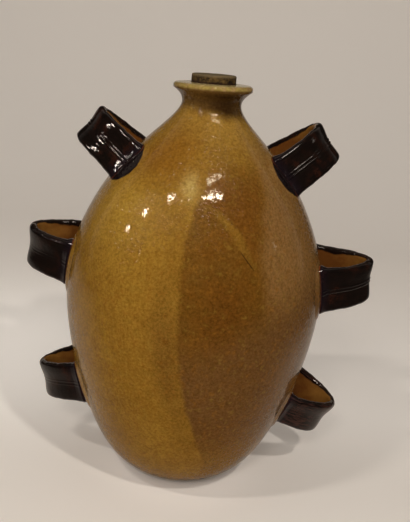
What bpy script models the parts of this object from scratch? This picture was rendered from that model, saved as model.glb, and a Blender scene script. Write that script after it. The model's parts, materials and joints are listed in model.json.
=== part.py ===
# A stoneware bottle vase: an egg-shaped body with a short flared neck, a cork,
# and six strap handles that stand out as loops, three on each side.
# Metres, +Z up. The origin is the centre of the flat foot, and the front faces -Y.

import functools
import math

import bmesh
import bpy
import numpy as np
from mathutils import Matrix, Vector

# The gap that fired or fitted neighbours keep, so that no two solids overlap.
gap = 0.0003

# The cork: its widest part fills the mouth, and it narrows on the way down.
cork_radius = 0.0184
cork_stand = 0.0072
cork_depth = 0.026
cork_foot_radius = 0.0170
cork_bevel = 0.0012

# The body, thrown in one with its neck and lip. The neck is as wide as its cork and its wall make it.
rim_height = 0.3512
lip_rise = 0.0162
neck_wall = 0.0062
lip_overhang = 0.0082
belly_radius = 0.1112
foot_radius = 0.038
wall = 0.007
floor_thickness = 0.010
lip_edge = 0.0036
lip_round = 0.0015
mouth_round = 0.0010
neck_height = rim_height - lip_rise
neck_radius = cork_radius + neck_wall
lip_radius = neck_radius + lip_overhang

# How wide the body is on the way up: shares of the neck's height, and of the way from the foot's
# radius out to the belly's, and above the belly from the neck's radius out to the belly's.
lower_outline_shares = (
    (0.020, 0.177), (0.060, 0.374), (0.120, 0.549), (0.200, 0.705), (0.300, 0.853),
    (0.410, 0.959), (0.520, 1.000),
)
upper_outline_shares = (
    (0.630, 0.942), (0.735, 0.784), (0.825, 0.571), (0.890, 0.350), (0.937, 0.170), (0.973, 0.045),
)
# How the neck flares into the lip: shares of the way from neck to lip, in height and in radius.
lip_flare_shares = ((0.36, 0.13), (0.70, 0.52))
# Where the inside turns from the wall's curve into the neck's bore, as a share of the neck's height.
inner_top_share = 0.885

# The height at which each row of handles meets the body, as a share of the neck's height.
handle_row_shares = {"upper": 0.848, "middle": 0.573, "lower": 0.239}

# One strap handle: a flat strap bent into a loop that lies level and stands out from the wall.
loop_half_width = 0.032
loop_reach = 0.044
loop_root = 0.008
strap_width = 0.036
strap_thickness = 0.0068
strap_edge = 0.0020
strap_lobe = 0.0008
groove_depth = 0.0013
groove_half_width = 0.0016
foot_spread_share = 0.12
foot_flare = 0.0022
foot_flare_reach = 0.007
strap_root_overrun = 0.014

# The coil of clay smoothed round each end of a strap, wide beside it and narrow above and below.
coil_height = 0.0036
coil_side_margin = 0.0064
coil_end_margin = 0.0042
coil_bury = 0.0030
# The coil's crown: shares of its margins outwards, and of its height.
coil_crown_shares = ((0.0, 1.0), (0.45, 0.95), (0.80, 0.62), (1.0, 0.14))

# How far a coil's outline is squared off: 1 is an ellipse, and less is squarer.
coil_squareness_share = 0.7

# How smooth the solids are.
body_segments = 56
cork_segments = 28
outline_steps = 2
inner_steps = 9
corner_steps = 3
loop_rings = 21
loop_end_crowding_share = 0.45
coil_points = 14
sharp_edge_degrees = 40

# How finely curves are sampled where something is measured on them.
fine_outline_steps = 16
fine_loop_steps = 720
wall_search_rounds = 40
slope_step_share = 0.01
merge_share = 0.1

# Each handle as it was put on by hand, in degrees: its direction round the body, how far it leans
# from square to the wall, and how far it is turned about its own middle.
handle_angles = {
    "upper_left": {"direction_degrees": 174.0, "lean_degrees": -4.5, "turn_degrees": 6.0},
    "upper_right": {"direction_degrees": 9.5, "lean_degrees": -3.5, "turn_degrees": -4.0},
    "middle_left": {"direction_degrees": 172.5, "lean_degrees": -3.5, "turn_degrees": -2.5},
    "middle_right": {"direction_degrees": 2.5, "lean_degrees": -4.0, "turn_degrees": 5.0},
    "lower_left": {"direction_degrees": 177.0, "lean_degrees": 2.5, "turn_degrees": 2.5},
    "lower_right": {"direction_degrees": 1.5, "lean_degrees": -10.5, "turn_degrees": 4.0},
}
# How each differs from the plain strap: shares of its reach and width, and how full its loop is,
# where 1 is half an ellipse and less is more pointed.
handle_shares = {
    "upper_left": {"reach_share": 0.99, "width_share": 0.96, "fullness_share": 0.81},
    "upper_right": {"reach_share": 1.07, "width_share": 0.99, "fullness_share": 0.95},
    "middle_left": {"reach_share": 0.98, "width_share": 1.03, "fullness_share": 0.95},
    "middle_right": {"reach_share": 1.06, "width_share": 1.08, "fullness_share": 0.83},
    "lower_left": {"reach_share": 0.90, "width_share": 0.97, "fullness_share": 0.86},
    "lower_right": {"reach_share": 1.03, "width_share": 0.96, "fullness_share": 0.93},
}

# Colour (red, green, blue), metallic value and roughness of each clay or cork surface.
finishes = {
    "amber_glaze": ((0.37, 0.165, 0.030), 0.0, 0.18),
    "dark_glaze": ((0.022, 0.010, 0.007), 0.0, 0.12),
    "amber_clay": ((0.30, 0.125, 0.022), 0.0, 0.25),
    "cork": ((0.060, 0.042, 0.028), 0.0, 0.85),
}


def clear_scene():
    for old in list(bpy.data.objects):
        bpy.data.objects.remove(old, do_unlink=True)


def material(name):
    colour, metallic, roughness = finishes[name]
    made = bpy.data.materials.get(name) or bpy.data.materials.new(name)
    made.use_nodes = True
    shader = made.node_tree.nodes["Principled BSDF"]
    shader.inputs["Base Color"].default_value = (*colour, 1.0)
    shader.inputs["Metallic"].default_value = metallic
    shader.inputs["Roughness"].default_value = roughness
    return made


def smooth_curve(points, steps):
    """A natural cubic spline through the points, by the length of the chords between them."""
    points = np.array(points)
    spans = np.linalg.norm(np.diff(points, axis=0), axis=1)
    count = len(points)
    system = np.eye(count)
    pull = np.zeros_like(points)
    for i in range(1, count - 1):
        system[i, i - 1] = spans[i - 1]
        system[i, i] = 2 * (spans[i - 1] + spans[i])
        system[i, i + 1] = spans[i]
        rise_after = (points[i + 1] - points[i]) / spans[i]
        rise_before = (points[i] - points[i - 1]) / spans[i - 1]
        pull[i] = 6 * (rise_after - rise_before)
    bend = np.linalg.solve(system, pull)
    curve = [points[0]]
    for i in range(count - 1):
        for k in range(1, steps + 1):
            b = k / steps
            a = 1 - b
            curve.append(a * points[i] + b * points[i + 1]
                         + ((a ** 3 - a) * bend[i] + (b ** 3 - b) * bend[i + 1]) * spans[i] ** 2 / 6)
    return np.array(curve)


@functools.cache
def outer_curve(steps):
    """Radius and height of the outside, from the foot's edge up to the underside of the lip."""
    points = [(foot_radius, 0.0)]
    for narrow, shares in ((foot_radius, lower_outline_shares), (neck_radius, upper_outline_shares)):
        points += [(narrow + r * (belly_radius - narrow), z * neck_height) for z, r in shares]
    points += [(neck_radius, neck_height)]
    lip_low = rim_height - lip_edge
    for z, r in lip_flare_shares:
        flared = neck_radius + r * (lip_radius - neck_radius)
        points += [(flared, neck_height + z * (lip_low - neck_height))]
    points += [(lip_radius, lip_low)]
    return smooth_curve(points, steps)


def offset_curve(curve, distance):
    """The curve moved square to itself, outwards where the distance is positive."""
    along = np.gradient(curve, axis=0)
    along /= np.linalg.norm(along, axis=1)[:, None]
    outward = np.stack((along[:, 1], -along[:, 0]), axis=1)
    return curve + distance * outward


def rounded_corner(corner, radius, start_degrees, steps=corner_steps):
    """Points of a quarter turn whose two straight sides would meet in the corner."""
    start = math.radians(start_degrees)
    middle = start + math.pi / 4
    towards_corner = math.sqrt(2) * np.array((math.cos(middle), math.sin(middle)))
    centre = np.array(corner) - radius * towards_corner
    angles = start + np.linspace(0, math.pi / 2, steps)
    return [tuple(centre + radius * np.array((math.cos(a), math.sin(a)))) for a in angles]


@functools.cache
def outline_below_neck():
    curve = outer_curve(fine_outline_steps)
    return curve[curve[:, 1] <= neck_height]


def radius_at(height):
    """The outside radius at a height between the foot and the neck."""
    curve = outline_below_neck()
    return np.interp(height, curve[:, 1], curve[:, 0])


def slope_at(height):
    """How fast the radius grows with height."""
    step = slope_step_share * foot_radius
    return (radius_at(height + step) - radius_at(height - step)) / (2 * step)


def bore_radius_at(height):
    """The bore follows the cork's taper, a gap away from it."""
    share = (rim_height - height) / cork_depth
    return cork_radius + share * (cork_foot_radius - cork_radius) + gap


def turned(name, outline, segments):
    """A solid of revolution from an outline that starts and ends on the axis."""
    bm = bmesh.new()
    verts = [bm.verts.new((r, 0.0, z)) for r, z in outline]
    edges = [bm.edges.new(pair) for pair in zip(verts, verts[1:])]
    bmesh.ops.spin(bm, geom=verts + edges, cent=(0, 0, 0), axis=(0, 0, 1),
                   angle=math.tau, steps=segments, use_merge=True)
    bmesh.ops.remove_doubles(bm, verts=bm.verts, dist=merge_share * gap)
    bmesh.ops.recalc_face_normals(bm, faces=bm.faces)
    return finished(name, bm)


def lofted(name, rings, cap_points=None):
    """A closed solid from rings of points; two single points, if given, close its ends."""
    bm = bmesh.new()
    rows = [[bm.verts.new(p) for p in ring] for ring in rings]
    for row, after in zip(rows, rows[1:]):
        for i in range(len(row)):
            j = (i + 1) % len(row)
            bm.faces.new((row[i], row[j], after[j], after[i]))
    for row, point in zip((rows[0], rows[-1]), cap_points or (None, None)):
        if point is None:
            bm.faces.new(row)
            continue
        tip = bm.verts.new(point)
        for i in range(len(row)):
            bm.faces.new((row[i], row[(i + 1) % len(row)], tip))
    bmesh.ops.recalc_face_normals(bm, faces=bm.faces)
    return finished(name, bm)


def finished(name, bm):
    mesh = bpy.data.meshes.new(name)
    bm.to_mesh(mesh)
    bm.free()
    mesh.shade_smooth()
    mesh.set_sharp_from_angle(angle=math.radians(sharp_edge_degrees))
    made = bpy.data.objects.new(name, mesh)
    bpy.context.collection.objects.link(made)
    return made


def as_cutter(made):
    made.hide_render = True
    made.display_type = "WIRE"
    return made


def cut(made, cutter):
    modifier = made.modifiers.new("cut_by_" + cutter.name, "BOOLEAN")
    modifier.operation = "DIFFERENCE"
    modifier.solver = "EXACT"
    modifier.object = cutter


def make_body():
    """Outside up to the lip, over the lip, down the bore and back along the inside to the floor."""
    outside = [tuple(p) for p in outer_curve(outline_steps)]
    lip = rounded_corner((lip_radius, rim_height), lip_round, 0)
    mouth = rounded_corner((bore_radius_at(rim_height), rim_height), mouth_round, 90)
    cork_foot_height = rim_height - cork_depth
    bore = [(bore_radius_at(cork_foot_height), cork_foot_height)]
    inner = offset_curve(outer_curve(fine_outline_steps), -wall)
    above_floor = inner[:, 1] > floor_thickness
    below_bore = inner[:, 1] < inner_top_share * neck_height
    in_use = inner[above_floor & below_bore]
    picks = np.linspace(0, len(in_use) - 1, inner_steps).round().astype(int)
    inside = [tuple(in_use[i]) for i in picks[::-1]]
    floor = [(inside[-1][0] - wall, floor_thickness), (0.0, floor_thickness)]
    body = turned("body", [(0.0, 0.0)] + outside + lip + mouth + bore + inside + floor, body_segments)
    body.data.materials.append(material("amber_glaze"))
    return body


def make_body_cutter():
    """The body's full outer shape, a gap larger, which the handles and coils are fitted to."""
    outline = [tuple(p) for p in offset_curve(outer_curve(outline_steps), gap)]
    outline[0] = (outline[0][0], -gap)
    closed = [(0.0, -gap)] + outline + [(0.0, outline[-1][1])]
    return as_cutter(turned("body_cutter", closed, body_segments))


def make_stopper():
    """The cork, with its origin on the axis that it is pulled out along."""
    foot = -cork_depth
    outline = [(0.0, foot), (cork_foot_radius - cork_bevel, foot), (cork_foot_radius, foot + cork_bevel),
               (cork_radius, 0.0), (cork_radius, cork_stand - cork_bevel),
               (cork_radius - cork_bevel, cork_stand), (0.0, cork_stand)]
    stopper = turned("stopper", outline, cork_segments)
    stopper.location = (0, 0, rim_height)
    stopper.data.materials.append(material("cork"))
    return stopper


def handle_frame(place):
    """The handle's own frame on the wall: x out of the wall, z up it, and y level."""
    height = handle_row_shares[place.split("_")[0]] * neck_height
    given = handle_angles[place]
    direction = math.radians(given["direction_degrees"])
    tilt = math.atan(-slope_at(height)) + math.radians(given["lean_degrees"])
    turn = math.radians(given["turn_degrees"])
    radius = radius_at(height)
    location = Vector((radius * math.cos(direction), radius * math.sin(direction), height))
    facing = Matrix.Rotation(direction, 4, "Z") @ Matrix.Rotation(-tilt, 4, "Y")
    return Matrix.Translation(location) @ facing @ Matrix.Rotation(turn, 4, "X")


def loop_path(place):
    """The strap's outer line, x out and y level: half a rounded loop with straight roots."""
    reach = loop_reach * handle_shares[place]["reach_share"]
    power = 1 / handle_shares[place]["fullness_share"]
    angle = np.linspace(0, math.pi, fine_loop_steps + 1)
    x = -loop_root + (reach + loop_root) * np.abs(np.sin(angle)) ** power
    y = loop_half_width * np.sign(np.cos(angle)) * np.abs(np.cos(angle)) ** power
    fine = np.stack((x, y), axis=1)
    run = np.concatenate(([0], np.cumsum(np.linalg.norm(np.diff(fine, axis=0), axis=1))))
    turn = np.linspace(0, math.tau, loop_rings)
    stops = run[-1] * (turn - loop_end_crowding_share * np.sin(turn)) / math.tau
    path = np.stack((np.interp(stops, run, x), np.interp(stops, run, y)), axis=1)
    root = np.array((strap_root_overrun, 0.0))
    return np.concatenate(([path[0] - root], path, [path[-1] - root]))


def strap_section(width, grow):
    """Across the strap: z over its width, and v through it, zero on the outer face."""
    half = width / 2 + grow
    outer = grow
    inner = -strap_thickness - grow
    right = rounded_corner((half, inner), strap_edge, -90, 2)
    right += rounded_corner((half, outer), strap_edge, 0)
    lobe = [(half / 2, outer + strap_lobe), (groove_half_width, outer)]
    left = [(-z, v) for z, v in reversed(right + lobe)]
    return np.array(right + lobe + [(0.0, outer - groove_depth)] + left)


def strap(name, place, grow):
    """The strap's section carried along the loop, wider and thicker where it is pressed on."""
    path = loop_path(place)
    along = np.gradient(path, axis=0)
    along /= np.linalg.norm(along, axis=1)[:, None]
    outward = np.stack((-along[:, 1], along[:, 0]), axis=1)
    section = strap_section(strap_width * handle_shares[place]["width_share"], grow)
    frame = handle_frame(place)
    wall_points, _ = on_wall(frame, np.array((loop_half_width, -loop_half_width)), np.zeros(2))
    foot_x = np.mean([(frame.inverted() @ Vector(p)).x for p in wall_points])
    pressed = np.exp(-np.maximum(path[:, 0] - foot_x, 0) / foot_flare_reach)
    rings = []
    for point, out, share in zip(path, outward, pressed):
        wider = 1 + foot_spread_share * share
        ring = []
        for z, v in section:
            through = 1 + 2 * v / strap_thickness
            x, y = point + (v + foot_flare * share * through) * out
            ring.append((x, y, z * wider))
        rings.append(ring)
    made = lofted(name, rings)
    made.matrix_world = frame
    return made


def make_handle(place, body_cutter):
    handle = strap("handle_" + place, place, 0.0)
    cut(handle, body_cutter)
    handle.data.materials.append(material("dark_glaze"))
    return handle


def on_wall(frame, y, z):
    """Where the lines along the handle's x axis at y and z meet the body, and the wall's normals."""
    axes = np.array(frame)
    base = axes[:3, 3] + y[:, None] * axes[:3, 1] + z[:, None] * axes[:3, 2]
    low = np.full(len(y), -loop_reach)
    high = np.full(len(y), loop_reach)
    for _ in range(wall_search_rounds):
        middle = (low + high) / 2
        point = base + middle[:, None] * axes[:3, 0]
        outside = np.hypot(point[:, 0], point[:, 1]) > radius_at(point[:, 2])
        high = np.where(outside, middle, high)
        low = np.where(outside, low, middle)
    point = base + low[:, None] * axes[:3, 0]
    level = np.hypot(point[:, 0], point[:, 1])
    normal = np.stack((point[:, 0] / level, point[:, 1] / level, -slope_at(point[:, 2])), axis=1)
    return point, normal / np.linalg.norm(normal, axis=1)[:, None]


def make_coil(place, end, side, body_cutter, strap_cutter):
    """A low roll of clay round one end of a strap, lying on the wall and cut by the strap."""
    frame = handle_frame(place)
    foot_y = side * (loop_half_width - strap_thickness / 2)
    foot_half = strap_width * handle_shares[place]["width_share"] * (1 + foot_spread_share) / 2
    angle = np.linspace(0, math.tau, coil_points, endpoint=False)
    across = np.sign(np.cos(angle)) * np.abs(np.cos(angle)) ** coil_squareness_share
    up = np.sign(np.sin(angle)) * np.abs(np.sin(angle)) ** coil_squareness_share
    back = np.array(frame.inverted())

    def to_frame(points):
        return points @ back[:3, :3].T + back[:3, 3]

    def ring(margin_share, height):
        y = foot_y + across * (strap_thickness / 2 + foot_flare + margin_share * coil_side_margin)
        z = up * (foot_half + margin_share * coil_end_margin)
        point, normal = on_wall(frame, y, z)
        return to_frame(point + height * normal)

    rings = [ring(margin_share, share * coil_height) for margin_share, share in coil_crown_shares]
    rings.append(ring(1, -coil_bury))
    point, normal = on_wall(frame, np.array([foot_y]), np.array([0.0]))
    tips = [to_frame(point + height * normal)[0] for height in (coil_height, -coil_bury)]
    coil = lofted("joining_coil_" + place + "_" + end, rings, tips)
    coil.matrix_world = frame
    cut(coil, body_cutter)
    cut(coil, strap_cutter)
    coil.data.materials.append(material("amber_clay"))
    return coil


def main():
    clear_scene()
    body = make_body()
    body_cutter = make_body_cutter()
    pieces = [make_stopper()]
    for place in handle_angles:
        pieces.append(make_handle(place, body_cutter))
        strap_cutter = as_cutter(strap("strap_cutter_" + place, place, gap))
        near_side = -1 if place.endswith("right") else 1
        for end, side in (("front", near_side), ("back", -near_side)):
            pieces.append(make_coil(place, end, side, body_cutter, strap_cutter))
    for piece in pieces:
        piece.parent = body


main()
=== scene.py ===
# A stoneware bottle vase with six strap handles and a cork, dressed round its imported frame.
# Metres, +Z up, the front faces -Y. Heights on the glaze are in millimetres up from the table,
# and directions round the body are in degrees from the front, positive to the right.

import json
import math

import bpy
import numpy as np
from mathutils import Matrix, Vector

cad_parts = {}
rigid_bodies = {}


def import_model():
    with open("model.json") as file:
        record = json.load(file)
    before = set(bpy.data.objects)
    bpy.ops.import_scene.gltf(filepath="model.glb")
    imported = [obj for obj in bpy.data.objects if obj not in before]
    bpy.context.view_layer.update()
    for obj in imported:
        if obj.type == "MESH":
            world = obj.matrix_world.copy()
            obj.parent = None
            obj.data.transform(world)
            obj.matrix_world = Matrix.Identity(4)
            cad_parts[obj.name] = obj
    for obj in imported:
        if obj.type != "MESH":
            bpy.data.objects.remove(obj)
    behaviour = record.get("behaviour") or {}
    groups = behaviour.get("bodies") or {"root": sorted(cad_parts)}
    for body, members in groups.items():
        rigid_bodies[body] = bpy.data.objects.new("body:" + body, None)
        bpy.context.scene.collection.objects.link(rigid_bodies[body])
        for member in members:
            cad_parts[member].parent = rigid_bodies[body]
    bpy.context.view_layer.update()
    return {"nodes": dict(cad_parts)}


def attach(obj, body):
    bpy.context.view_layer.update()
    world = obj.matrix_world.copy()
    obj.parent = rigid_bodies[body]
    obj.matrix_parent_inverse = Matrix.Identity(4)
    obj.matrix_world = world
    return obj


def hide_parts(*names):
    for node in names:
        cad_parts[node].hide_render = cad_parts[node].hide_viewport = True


for leftOver in list(bpy.data.objects):
    bpy.data.objects.remove(leftOver, do_unlink=True)
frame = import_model()
print("frame loaded with", len(frame["nodes"]), "nodes")


# Shader maths: a Wire is one socket, and an expression on wires adds the Math nodes.
class Wire:
    def __init__(self, paint, socket):
        self.paint = paint
        self.socket = socket

    def math(self, operation, *others):
        values = dict(enumerate((self,) + others))
        return self.paint.node("ShaderNodeMath", {"operation": operation}, values)["Value"]

    def __add__(self, other):
        return self.math("ADD", other)

    def __sub__(self, other):
        return self.math("SUBTRACT", other)

    def __mul__(self, other):
        return self.math("MULTIPLY", other)

    def __rsub__(self, other):
        return (self * -1.0).math("ADD", other)

    __radd__ = __add__
    __rmul__ = __mul__

    def size(self):
        return self.math("ABSOLUTE")

    def clamp(self):
        return self.math("MAXIMUM", 0.0).math("MINIMUM", 1.0)

    # Nought before the first value, one past the second, and a smooth step between them.
    def fade(self, start, end):
        settings = {"interpolation_type": "SMOOTHSTEP"}
        values = {"Value": self, "From Min": start, "From Max": end, "To Min": 0.0, "To Max": 1.0}
        return self.paint.node("ShaderNodeMapRange", settings, values)["Result"]

    # A bell round a place: exp of minus the square of the distance over the width.
    def bell(self, place, width):
        away = (self - place) * (1.0 / width)
        return (away * away * -1.0).math("EXPONENT")

    def shaped(self, kind, first, second):
        return self.bell(first, second) if kind == "bell" else self.fade(first, second)

    # A smooth line through the points, read at this value.
    def curve(self, points):
        ins, outs = zip(*points)
        start, span = ins[0], ins[-1] - ins[0]
        low, rise = min(outs), max(outs) - min(outs)
        places = [((i - start) / span, (o - low) / rise) for i, o in points]
        values = {"Value": ((self - start) * (1.0 / span)).clamp()}
        made = self.paint.node("ShaderNodeFloatCurve", {"points": places}, values)
        return made["Value"] * rise + low


# The sockets of one node, read by name or by place.
class Outlets:
    def __init__(self, paint, made):
        self.paint = paint
        self.made = made

    def __getitem__(self, key):
        return Wire(self.paint, self.made.outputs[key])


# The nodes of one material or of the world.
class Paint:
    def __init__(self, owner):
        owner.use_nodes = True
        self.owner = owner
        self.tree = owner.node_tree

    def plug(self, socket, value):
        if isinstance(value, Wire):
            self.tree.links.new(value.socket, socket)
        elif socket.type == "RGBA":
            socket.default_value = (*value[:3], 1.0)
        else:
            socket.default_value = value

    def node(self, kind, settings=None, values=None):
        made = self.tree.nodes.new(kind)
        for key, value in (settings or {}).items():
            if key == "points":
                curve = made.mapping.curves[0]
                curve.points[0].location, curve.points[1].location = value[0], value[-1]
                for place in value[1:-1]:
                    curve.points.new(*place)
                made.mapping.update()
            else:
                setattr(made, key, value)
        for key, value in (values or {}).items():
            self.plug(made.inputs[key], value)
        return Outlets(self, made)

    def mix(self, share, first, second, blend="MIX"):
        settings = {"data_type": "RGBA", "blend_type": blend}
        return self.node("ShaderNodeMix", settings, {0: share, 6: first, 7: second})[2]

    def noise(self, place, scale, detail, roughness, shift=0.0):
        values = {0: place, 1: (shift,) * 3}
        moved = self.node("ShaderNodeVectorMath", {"operation": "ADD"}, values)["Vector"]
        values = {"Vector": moved, "Scale": scale, "Detail": detail, "Roughness": roughness}
        return self.node("ShaderNodeTexNoise", {}, values)[0]

    def split(self, vector):
        parts = self.node("ShaderNodeSeparateXYZ", {}, {0: vector})
        return parts["X"], parts["Y"], parts["Z"]

    # The three numbers that a piece's mesh carries under this name.
    def mark(self, name):
        return self.split(self.node("ShaderNodeAttribute", {"attribute_name": name})["Vector"])

    # Bumps from fields, each times its height in metres.
    def bump(self, relief, fields):
        height = sum(fields[key] * most for key, most in relief.items())
        values = {"Height": height, "Distance": 1.0, "Strength": 1.0}
        return self.node("ShaderNodeBump", {}, values)["Normal"]

    # Layers over a colour, the lowest first: the name of a shade, the share of it, and what its
    # mask multiplies. Each factor is a field, or a bell or a fade over it with its two numbers.
    def layers(self, colour, table, shades, fields):
        for shade, share, *factors in table:
            mask = 1.0
            for field, *step in factors:
                mask = (fields[field].shaped(*step) if step else fields[field]) * mask
            colour = self.mix(mask.math("MINIMUM", 1.0) * share, colour, shades[shade])
        return colour

    # The values of a material's surface shader.
    def finish(self, **sockets):
        for key, value in sockets.items():
            self.plug(self.tree.nodes["Principled BSDF"].inputs[key.replace("_", " ")], value)
        return self.owner


# The paint of a new material, its noises, and where each point of the piece lies.
def newPaint(name, table):
    paint = Paint(bpy.data.materials.new(name))
    spot = paint.node("ShaderNodeTexCoord")["Object"]
    noises = {key: paint.noise(spot, *values) for key, values in table.items()}
    return paint, noises, *paint.split(spot)


# A natural cubic spline through the points, by the length of the chords between them.
def smoothCurve(points, steps):
    points = np.array(points)
    spans = np.linalg.norm(np.diff(points, axis=0), axis=1)
    count = len(points)
    inside = np.arange(1, count - 1)
    system = np.eye(count)
    system[inside, inside - 1] = spans[:-1]
    system[inside, inside] = 2 * (spans[:-1] + spans[1:])
    system[inside, inside + 1] = spans[1:]
    rise = np.diff(points, axis=0) / spans[:, None]
    pull = np.zeros_like(points)
    pull[inside] = 6 * np.diff(rise, axis=0)
    bend = np.linalg.solve(system, pull)
    b = np.linspace(0, 1, steps, endpoint=False)[None, :, None]
    a = 1 - b
    spanSquared = (spans ** 2)[:, None, None] / 6
    curve = (a * points[:-1, None] + b * points[1:, None]
             + ((a ** 3 - a) * bend[:-1, None] + (b ** 3 - b) * bend[1:, None]) * spanSquared)
    return np.concatenate((curve.reshape(-1, 2), points[-1:]))


# The length of a line up to each of its points.
def runOf(line):
    return np.concatenate(([0], np.cumsum(np.linalg.norm(np.diff(line, axis=0), axis=1))))


# The same line with its points an equal way apart.
def evenly(line, count):
    run = runOf(line)
    stops = np.linspace(0, run[-1], count)
    return np.stack([np.interp(stops, run, line[:, i]) for i in range(line.shape[1])], axis=1)


# The direction of a line at each of its points.
def headings(line):
    along = np.gradient(line, axis=0)
    return along / np.linalg.norm(along, axis=1)[:, None]


# A quarter turn whose two straight sides would meet in the corner.
def roundedCorner(corner, radius, startDegrees, steps):
    start = math.radians(startDegrees)
    middle = start + math.pi / 4
    way = np.array((math.cos(middle), math.sin(middle)))
    centre = np.array(corner) - radius * math.sqrt(2) * way
    angles = start + np.linspace(0, math.pi / 2, steps)
    return centre + radius * np.stack((np.cos(angles), np.sin(angles)), axis=1)


# Rings round the z axis: a radius and a height for each row, and an angle for each column.
def turned(radius, height, angle):
    return np.stack((radius * np.cos(angle), radius * np.sin(angle), height + 0 * angle), axis=-1)


# How a hand strays along a piece: three sines, by their turns and their shares.
sway = {"turns": (1.0, 1.7, 2.9), "shares": (0.5, 0.3, 0.2)}


# The sines added up, between -1 and 1, with phases that come from the seed.
def waver(run, waves, seed):
    phases = np.random.default_rng(seed).uniform(0, math.tau, 3)
    turns = np.array(sway["turns"]) * waves * math.tau
    return (np.array(sway["shares"]) * np.sin(run[..., None] * turns + phases)).sum(axis=-1)


def addObject(name, data):
    made = bpy.data.objects.new(name, data)
    bpy.context.scene.collection.objects.link(made)
    return made


# The direction so many degrees round from the front, to the right, and so many up.
def bearing(roundDegrees, upDegrees):
    around, up = math.radians(roundDegrees), math.radians(upDegrees)
    return Vector((math.sin(around) * math.cos(up), -math.cos(around) * math.cos(up),
                   math.sin(up)))


# A closed surface from rings of points and a point that closes each end. The volume it encloses
# tells which way its faces turn, and they are turned outwards.
def makePiece(name, rings, tips, finish, marks=None):
    rows, columns, _ = rings.shape
    row, column = np.meshgrid(np.arange(rows - 1), np.arange(columns), indexing="ij")
    after = (column + 1) % columns
    low, high = row * columns, (row + 1) * columns
    quads = np.stack((low + column, low + after, high + after, high + column), axis=-1)
    quads = quads.reshape(-1, 4)
    points = np.concatenate((rings.reshape(-1, 3), np.array(tips).reshape(2, 3)))
    around = np.arange(columns)
    beside = (around + 1) % columns
    last = (rows - 1) * columns
    firstTip = np.full(columns, rows * columns)
    fans = np.concatenate((np.stack((beside, around, firstTip), axis=1),
                           np.stack((last + around, last + beside, firstTip + 1), axis=1)))
    halves = np.concatenate((quads[:, (0, 1, 2)], quads[:, (0, 2, 3)], fans))
    a, b, c = (points[halves[:, i]] for i in range(3))
    if np.einsum("ij,ij->i", a, np.cross(b, c)).sum() < 0:
        quads, fans = quads[:, ::-1], fans[:, ::-1]
    mesh = bpy.data.meshes.new(name)
    mesh.vertices.add(len(points))
    mesh.vertices.foreach_set("co", points.ravel())
    corners = np.concatenate((quads.ravel(), fans.ravel()))
    starts = np.concatenate((np.arange(len(quads)) * 4, quads.size + np.arange(len(fans)) * 3))
    mesh.loops.add(len(corners))
    mesh.loops.foreach_set("vertex_index", corners)
    mesh.polygons.add(len(starts))
    mesh.polygons.foreach_set("loop_start", starts)
    mesh.update(calc_edges=True)
    for mark, values in (marks or {}).items():
        ends = np.stack((values[0].mean(axis=0), values[-1].mean(axis=0)))
        layer = mesh.attributes.new(mark, "FLOAT_VECTOR", "POINT")
        layer.data.foreach_set("vector", np.concatenate((values.reshape(-1, 3), ends)).ravel())
    mesh.shade_smooth()
    mesh.materials.append(finish)
    return addObject(name, mesh)


# The camera, from the picture: where it stands, how it is turned, and its lens.
camera = {
    "place": (0.0, -0.650, 0.4028),
    "downDegrees": 17.48,
    "rightDegrees": 0.66,
    "rollDegrees": 5.70,
    "lens": 53.50,
    "sensorWidth": 36.0,
    "clipStart": 0.01,
}


def makeCamera():
    right, roll = math.radians(camera["rightDegrees"]), math.radians(camera["rollDegrees"])
    back = bearing(-camera["rightDegrees"], camera["downDegrees"])
    level = Vector((math.cos(right), -math.sin(right), 0))
    up = back.cross(level)
    across = math.cos(roll) * level + math.sin(roll) * up
    upright = math.cos(roll) * up - math.sin(roll) * level
    turn = Matrix((across, upright, back)).transposed().to_4x4()
    data = bpy.data.cameras.new("camera")
    data.lens = camera["lens"]
    data.sensor_width = camera["sensorWidth"]
    data.clip_start = camera["clipStart"]
    made = addObject("camera", data)
    made.matrix_world = Matrix.Translation(camera["place"]) @ turn
    bpy.context.scene.camera = made


makeCamera()
print("camera placed")

# The body, thrown in one with its neck and lip. Its lengths and shares are the CAD model's, but
# for the lip's edge and roundings and the two lowest shares, which follow the picture closer.
# The shares are pairs of height and width: of the way up to the neck and out to the belly, and
# in the flare of the way up to the lip's edge and out to its rim.
body = {
    "rimHeight": 0.3512, "neckHeight": 0.335,
    "neckRadius": 0.0246, "lipRadius": 0.0328, "bellyRadius": 0.1112, "footRadius": 0.038,
    "wall": 0.007, "floorThickness": 0.010, "innerTopShare": 0.885,
    "lipEdge": 0.0046, "lipRound": 0.0024, "mouthRound": 0.0012,
    "lipFall": 0.0011, "lipFrontUp": 0.020, "lipRightUp": 0.021,
    "lowerShares": ((0.020, 0.148), (0.060, 0.366), (0.120, 0.549), (0.200, 0.705),
                    (0.300, 0.853), (0.410, 0.959), (0.520, 1.000)),
    "upperShares": ((0.630, 0.942), (0.735, 0.784), (0.825, 0.571), (0.890, 0.350),
                    (0.937, 0.170), (0.973, 0.045)),
    "flareShares": ((0.36, 0.13), (0.70, 0.52)),
    "footInset": 0.0006, "kneeRise": 0.003, "kneeReach": 0.006, "hub": 0.004,
    "curveSteps": 32, "slopeStep": 0.0004, "columns": 240,
    "footRows": 10, "outsideRows": 270, "lipRows": 9, "mouthRows": 7,
    "boreRows": 8, "insideRows": 60, "floorRows": 6,
    "ripple": 0.00005, "rippleWaves": 38,
}
# The cork. Its pits' widths and depths are drawn between two shares of the largest.
cork = {
    "radius": 0.0184, "stand": 0.0067, "depth": 0.026, "footRadius": 0.0170, "bevel": 0.0012,
    "gap": 0.0003, "hub": 0.0008, "rows": 150, "edgeRows": 6, "columns": 128,
    "pits": 150, "pitDepth": 0.0007, "pitWidth": 0.0011,
    "widthShares": (0.4, 1.3), "depthShares": (0.3, 1.0), "seed": 7,
}


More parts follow.
